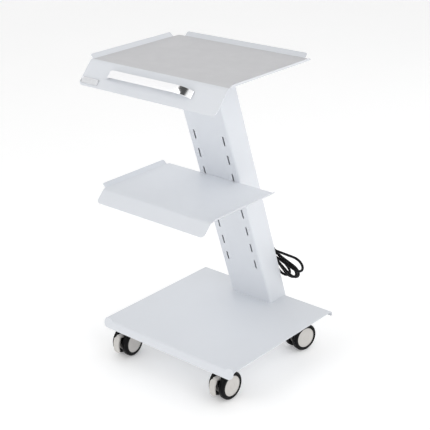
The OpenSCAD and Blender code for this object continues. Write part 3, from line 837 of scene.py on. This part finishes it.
@dataclass
class MainsLead:
    """The lead: out of its strain relief, through the tied hank and down to the plug.

    Points are across, out of the back and up the column, in mm. A lobe is the direction of
    its axis in degrees, the reach of its tip's middle and its tip's radius.
    """

    bench: Bench
    diameter: float = 7.0
    layer: float = 7.2
    tie: Point = (20.0, 19.0, 150.0)
    lobes: tuple[Point, ...] = (
        (-14.0, 108.0, 24.0), (-38.0, 102.0, 22.0), (-49.0, 98.0, 22.0), (-67.0, 90.0, 22.0),
    )
    fold_reach: float = 40.0
    fold_radius: float = 23.0
    lead: tuple[Point, ...] = (
        (0, 13, 266), (0, 13, 257), (1, 13, 248), (5, 12, 238), (11, 10, 227), (16, 9, 215),
        (18, 8, 203), (17, 8, 191), (15, 8, 180), (14, 8, 170), (16, 8, 160),
    )
    tail: tuple[Point, ...] = (
        (12, 35, 161), (7, 37, 172), (-1, 38, 180), (-11, 38, 182), (-21, 38, 177),
        (-28, 38, 167), (-30, 38, 154), (-30, 38, 140), (-30, 38, 127), (-30, 38, 114),
    )

    def loop(self, angle: float, reach: float, radius: float, start: float) -> Array:
        """One side of a hank's turn: out beside the axis, round the tip and back.

        Args:
            angle: Direction of the axis, in degrees.
            reach: Distance of the tip's middle from the tie.
            radius: Radius at the tip.
            start: Side of the axis it leaves on, 1 or -1; it comes back on the other.

        Returns:
            Points (n, 2) about the tie: a straight run, an arc and a straight run.
        """
        side = self.diameter / 2.0 + 0.3
        swing = math.pi / 2.0 + math.asin((radius - side) / reach)
        t = np.linspace(start * swing, -start * swing, 25)
        arc = np.stack([reach + radius * np.cos(t), radius * np.sin(t)], -1)
        out = np.linspace([0.0, start * side], arc[0], 8, endpoint=False)
        back = np.linspace(arc[-1], [0.0, -start * side], 9)[1:]
        local = np.vstack([out, arc, back])
        c, s = math.cos(math.radians(angle)), math.sin(math.radians(angle))
        return local @ np.array([[c, s], [-s, c]])

    def route(self) -> Array:
        """The whole centreline: the lead, each lobe and the fold after it, and the tail.

        Returns:
            Points (n, 3) in the column's frame, in mm, at even steps.
        """
        low = self.tie[1] - 1.5 * self.layer
        parts = [np.array(self.lead, float)]
        for k, (angle, reach, radius) in enumerate(self.lobes):
            turn = self.loop(angle, reach, radius, 1.0)
            n = np.full(len(turn), low + k * self.layer)
            parts.append(self.placed(turn, n))
            if k + 1 < len(self.lobes):
                middle = 0.5 * (angle + self.lobes[k + 1][0])
                fold = self.loop(middle + 180.0, self.fold_reach, self.fold_radius, 1.0)
                n = low + (k + np.linspace(0.0, 1.0, len(fold))) * self.layer
                parts.append(self.placed(fold, n)[1:-1])
        parts.append(np.array(self.tail, float))
        return even_steps(np.vstack(parts), 4.0, 5.0)

    def placed(self, turn: Array, n: Array) -> Array:
        """Points about the tie at heights n out of the column's back."""
        return np.stack([self.tie[0] + turn[:, 0], n, self.tie[2] + turn[:, 1]], -1)

    def build(self) -> None:
        """Makes the lead, its strain relief and its plug."""
        path = on_column(self.route())
        length = float(np.linalg.norm(np.diff(path, axis=0), axis=1).sum())
        lead = skin("mains_lead", tube_rings(path, self.diameter / 2.0 * MM))
        self.bench.piece(lead, "black_cord", "black_cord", "frame", "power_cord", "cord_hank")
        plug = self.plug()
        relief = self.relief()
        LOG.info("lead centreline %.3f m", length)

    def plug(self) -> bpy.types.Object:
        """The plug: a turned body whose grip has 20 flutes.

        The radius is r (1 - a (1 + cos 20 t) / 2), where a is a bell over the grip.

        Returns:
            The plug's body.
        """
        profile = rounded_profile([
            (0.0, 0.0, 0), (4.6, 0.0, 0.8), (7.9, 16.0, 6.0), (16.4, 24.0, 3.0),
            (16.9, 30.0, 1.5), (16.0, 43.9, 1.4), (0.0, 43.9, 0),
        ])
        t = np.linspace(0.0, 2.0 * np.pi, 120, endpoint=False)
        r, z = finer(profile, 4).T
        grip = np.exp(-((z - 34.0) / 6.0) ** 2)[:, None] * 0.045
        radius = r[:, None] * (1.0 - grip * (0.5 + 0.5 * np.cos(20.0 * t)))
        rings = np.stack([radius * np.cos(t), radius * np.sin(t),
                          np.broadcast_to(z[:, None], radius.shape)], -1)
        place = column_place(self.tail[-1], Facing.DOWN)
        obj = skin("plug_body", place.to_row(rings[1:-1]))
        return self.bench.piece(obj, "black_plastic", "black_plastic", "frame", "plug")

    def relief(self) -> bpy.types.Object:
        """The strain relief: a grooved taper under a nut.

        The taper's radius is 4.7 + 2.8 u - groove, with u from 0 to 1 up it and the
        groove a squared wave of one pitch.

        Returns:
            The strain relief.
        """
        top, pitch, deep = 26.0, 4.3, 0.7
        z = np.linspace(0.3, top, 90)
        groove = deep * (0.5 - 0.5 * np.cos(2.0 * np.pi * z / pitch)) ** 2
        taper = np.stack([4.7 + 2.8 * z / top - groove * (z < 24.0), z], -1)
        nut = rounded_profile([(7.5, top, 0), (9.0, top, 0.6), (9.0, 34.0, 0), (6.9, 34.0, 0),
                               (6.9, 39.0, 0.4), (0.0, 39.0, 0)])
        profile = np.vstack([[(0.0, 0.0), (4.4, 0.0)], taper, nut])
        obj = lathe("strain_relief", profile[1:-1], column_place(self.lead[0]), 48)
        return self.bench.piece(obj, "black_plastic", "black_plastic", "frame", "cord_gland")


# --- sheet metal, handle and badge ----------------------------------------------------


@dataclass
class Sheets:
    """The painted sheets and the steel that holds them together."""

    bench: Bench

    def build(self) -> None:
        """Dresses the CAD sheets and fixings."""
        self.bench.paint(
            "white_paint", "base_deck", "base_rails", "column", "column_cover", "middle_shelf",
            "bracket_left", "bracket_right",
        )
        # The top shelf's upward faces take a painted shade.
        self.bench.paint("paint_shaded_top", "top_shelf")
        self.bench.paint(
            "zinc_steel", "caster_plates", "caster_stems", "cover_screws", "foot_plate",
            "foot_bolts", "head_plate", "shelf_nuts", "handle_screws",
        )


@dataclass
class Handle:
    """The bow handle: flat bar carried along a bent path, with softened edges."""

    bench: Bench
    length: float = 236.0
    width: float = 20.0
    thick: float = 4.0
    rise: float = 20.0
    middle_x: float = -3.0
    middle_d: float = 34.0
    bend: float = 46.0

    def build(self) -> None:
        """Sweeps the section along the bow."""
        x, mid = self.length / 2.0, self.rise - self.thick / 2.0
        foot = x + self.rise - self.thick * 0.7 + 1.6
        corners = [
            (foot, 0.35, 0.0), (x - 1.0, mid, self.bend), (1.0 - x, mid, self.bend),
            (-foot, 0.35, 0.0),
        ]
        path = rounded_profile(corners, 22)
        path = np.stack([path[:, 0], np.zeros(len(path)), path[:, 1]], -1)
        path = even_steps(path, 2.0, 1.2)
        across = np.array([0.0, 1.0, 0.0])
        out = np.cross(directions(path), across)
        section = rounded_box_section(self.width, self.thick, 0.9)
        rings = path[:, None] + section[None, :, :1] * across + section[None, :, 1:] * out[:, None]
        rings[..., 2] = rings[..., 2].clip(min=0.05)
        obj = skin("bow_handle", on_apron(rings + (self.middle_x, -self.middle_d, 0.0)))
        self.bench.piece(obj, "chrome", "chrome", "frame", "handle")


@dataclass
class Badge:
    """The blank badge plate: a rounded plate with a raised rim and a domed field."""

    bench: Bench
    length: float = 58.0
    width: float = 16.0
    middle: tuple[float, float] = (-188.0, -57.0)

    def build(self) -> None:
        """Stacks outlines from the back edge over the rim to the domed middle."""
        steps = [(0.0, 0.1), (0.0, 1.7), (0.35, 2.1), (0.9, 2.3), (1.5, 2.2), (2.0, 1.75),
                 (3.0, 1.8), (4.5, 1.95), (6.5, 2.05)]
        rings = []
        for inset, height in steps:
            flat = rounded_box_section(
                self.length - 2 * inset, self.width - 2 * inset, max(4.0 - inset, 1.2), 7,
            )
            rings.append(np.column_stack([flat, np.full(len(flat), height)]))
        points = np.array(rings) + (*self.middle, 0.0)
        plate = skin("badge_plate", on_apron(points))
        self.bench.piece(plate, "bright_plate", "bright_plate", "frame", "badge")


# --- casters --------------------------------------------------------------------------


@dataclass(frozen=True)
class CasterSpot:
    """Where a caster stands: its side, swivel distance from the front and turn at rest."""

    name: str
    side: int
    swivel_y: float
    turn: float
    braked: bool


SPOTS = (
    CasterSpot("fl", -1, 49.7, 5.5, True), CasterSpot("fr", 1, 49.7, -1.7, True),
    CasterSpot("rl", -1, 365.0, 9.0, False), CasterSpot("rr", 1, 365.0, -12.0, False),
)


@dataclass
class Caster:
    """A twin-wheel caster: discs, treads, horn and brake pedal."""

    bench: Bench
    spot: CasterSpot
    swivel_x: float = 174.8
    trail: float = 21.5
    wheel_r: float = 37.5
    wheel_w: float = 15.5
    disc_r: float = 26.6
    wheel_mid: float = 16.85

    def place(self) -> Place:
        """The caster's frame: Z on the swivel axis, X along the axle, floor at z = 0."""
        c, s = math.cos(math.radians(self.spot.turn)), math.sin(math.radians(self.spot.turn))
        origin = row(np.array([self.spot.side * self.swivel_x, self.spot.swivel_y, 0.0]))
        return Place(tuple(origin), (c, s, 0.0), (-s, c, 0.0), (0.0, 0.0, 1.0))

    def wheel_place(self, side: int) -> Place:
        """A wheel's frame, its Z out of the disc's face.

        Args:
            side: -1 for the left wheel, 1 for the right.

        Returns:
            The place, at the wheel's middle.
        """
        own = self.place()
        at = own.to_row(np.array([side * self.wheel_mid, -self.trail, self.wheel_r]))
        x, y, z = (np.array(v) for v in (own.x, own.y, own.z))
        return Place(tuple(at), tuple(y * side), tuple(z), tuple(x * side))

    def build(self) -> None:
        """Makes both wheels, and dresses the axle, the horn and the pedal where there is one."""
        name = f"caster_{self.spot.name}"
        for word, side in (("left", -1), ("right", 1)):
            body = f"wheel_{self.spot.name}_{word}"
            disc = self.disc(f"disc_{self.spot.name}_{word}", side)
            self.bench.piece(disc, "grey_plastic", "grey_plastic", body, f"{name}_{word}_hub")
            tread = self.tread(f"tread_{self.spot.name}_{word}", side)
            self.bench.piece(tread, "tread", "tread", body, f"{name}_{word}_tyre")
        self.bench.paint("zinc_steel", f"{name}_axle")
        self.bench.paint("gloss_black", f"{name}_body")
        if self.spot.braked:
            self.bench.paint("grey_plastic", f"pedal_{self.spot.name}")
            self.bench.paint("zinc_steel", f"pedal_pin_{self.spot.name}")

    def disc(self, name: str, side: int) -> bpy.types.Object:
        """The wheel's disc: a shallow dish with a step ring and a cap.

        Args:
            name: The piece's name.
            side: -1 for the left wheel, 1 for the right.

        Returns:
            The disc.
        """
        h = self.wheel_w / 2.0
        profile = rounded_profile([
            (9.0, -h + 0.3, 0), (9.0, h - 4.5, 0), (self.disc_r - 3.2, h - 4.5, 0),
            (self.disc_r - 3.2, -h + 1.0, 0), (self.disc_r + 0.6, -h + 1.0, 0.3),
            (self.disc_r + 0.6, h - 0.5, 0.5), (self.disc_r - 1.6, h - 0.15, 0.3),
            (self.disc_r - 2.3, h - 0.9, 0.3), (self.disc_r - 4.0, h - 0.9, 0.3),
            (self.disc_r - 4.8, h - 0.45, 0.4), (8.2, h - 0.6, 0.3), (7.8, h - 1.1, 0.2),
            (7.2, h - 0.55, 0.3), (0.1, h - 0.4, 0),
        ], 4)
        return lathe(name, profile, self.wheel_place(side), 72)

    def tread(self, name: str, side: int) -> bpy.types.Object:
        """The tread: an outline with rounded shoulders and a bead, carried round the axle.

        Args:
            name: The piece's name.
            side: -1 for the left wheel, 1 for the right.

        Returns:
            The tread.
        """
        h, r, inner = self.wheel_w / 2.0, self.wheel_r, self.disc_r + 0.75
        outline = rounded_profile([
            (inner + 1.0, -h + 0.2, 0), (r, -h, 5.0), (r, h, 5.0), (inner + 2.6, h - 0.1, 0.6),
            (inner + 1.9, h - 0.8, 0.3), (inner + 1.2, h - 0.15, 0.4), (inner, h - 0.3, 0.2),
            (inner, -h + 0.2, 0),
        ], 5)
        around = 96
        t = np.linspace(0.0, 2.0 * np.pi, around, endpoint=False)
        radius, z = outline[None, :, 0], outline[None, :, 1]
        rings = np.stack([radius * np.cos(t)[:, None], radius * np.sin(t)[:, None],
                          np.broadcast_to(z, (around, len(outline)))], -1)
        return skin(name, self.wheel_place(side).to_row(rings), closed=True)


# --- outlet strip ---------------------------------------------------------------------


@dataclass
class OutletStrip:
    """The strip on the column's back."""

    bench: Bench

    def build(self) -> None:
        """Dresses the strip's CAD pieces."""
        self.bench.paint("white_plastic", "outlet_case", "tie_saddle")
        self.bench.paint(
            "black_plastic", "outlet_1", "outlet_2", "outlet_3", "terminal_block",
            "switch_frame", "cord_tie",
        )
        self.bench.paint("red_plastic", "rocker")
        self.bench.paint("brass_pins", "plug_pins")


def main() -> dict[str, object]:
    """Builds the trolley's looks in order.

    Returns:
        The box of the CAD model, as it was before any piece was made.
    """
    logging.basicConfig(level=logging.INFO, format="%(name)s: %(message)s")
    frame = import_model()
    cad_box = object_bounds()
    studio = Studio()
    studio.camera()
    bench = Bench(frame["nodes"])
    MainsLead(bench).build()
    studio.build()
    Sheets(bench).build()
    Handle(bench).build()
    Badge(bench).build()
    for spot in SPOTS:
        Caster(bench, spot).build()
    OutletStrip(bench).build()
    return cad_box


if __name__ == "__main__":
    main()
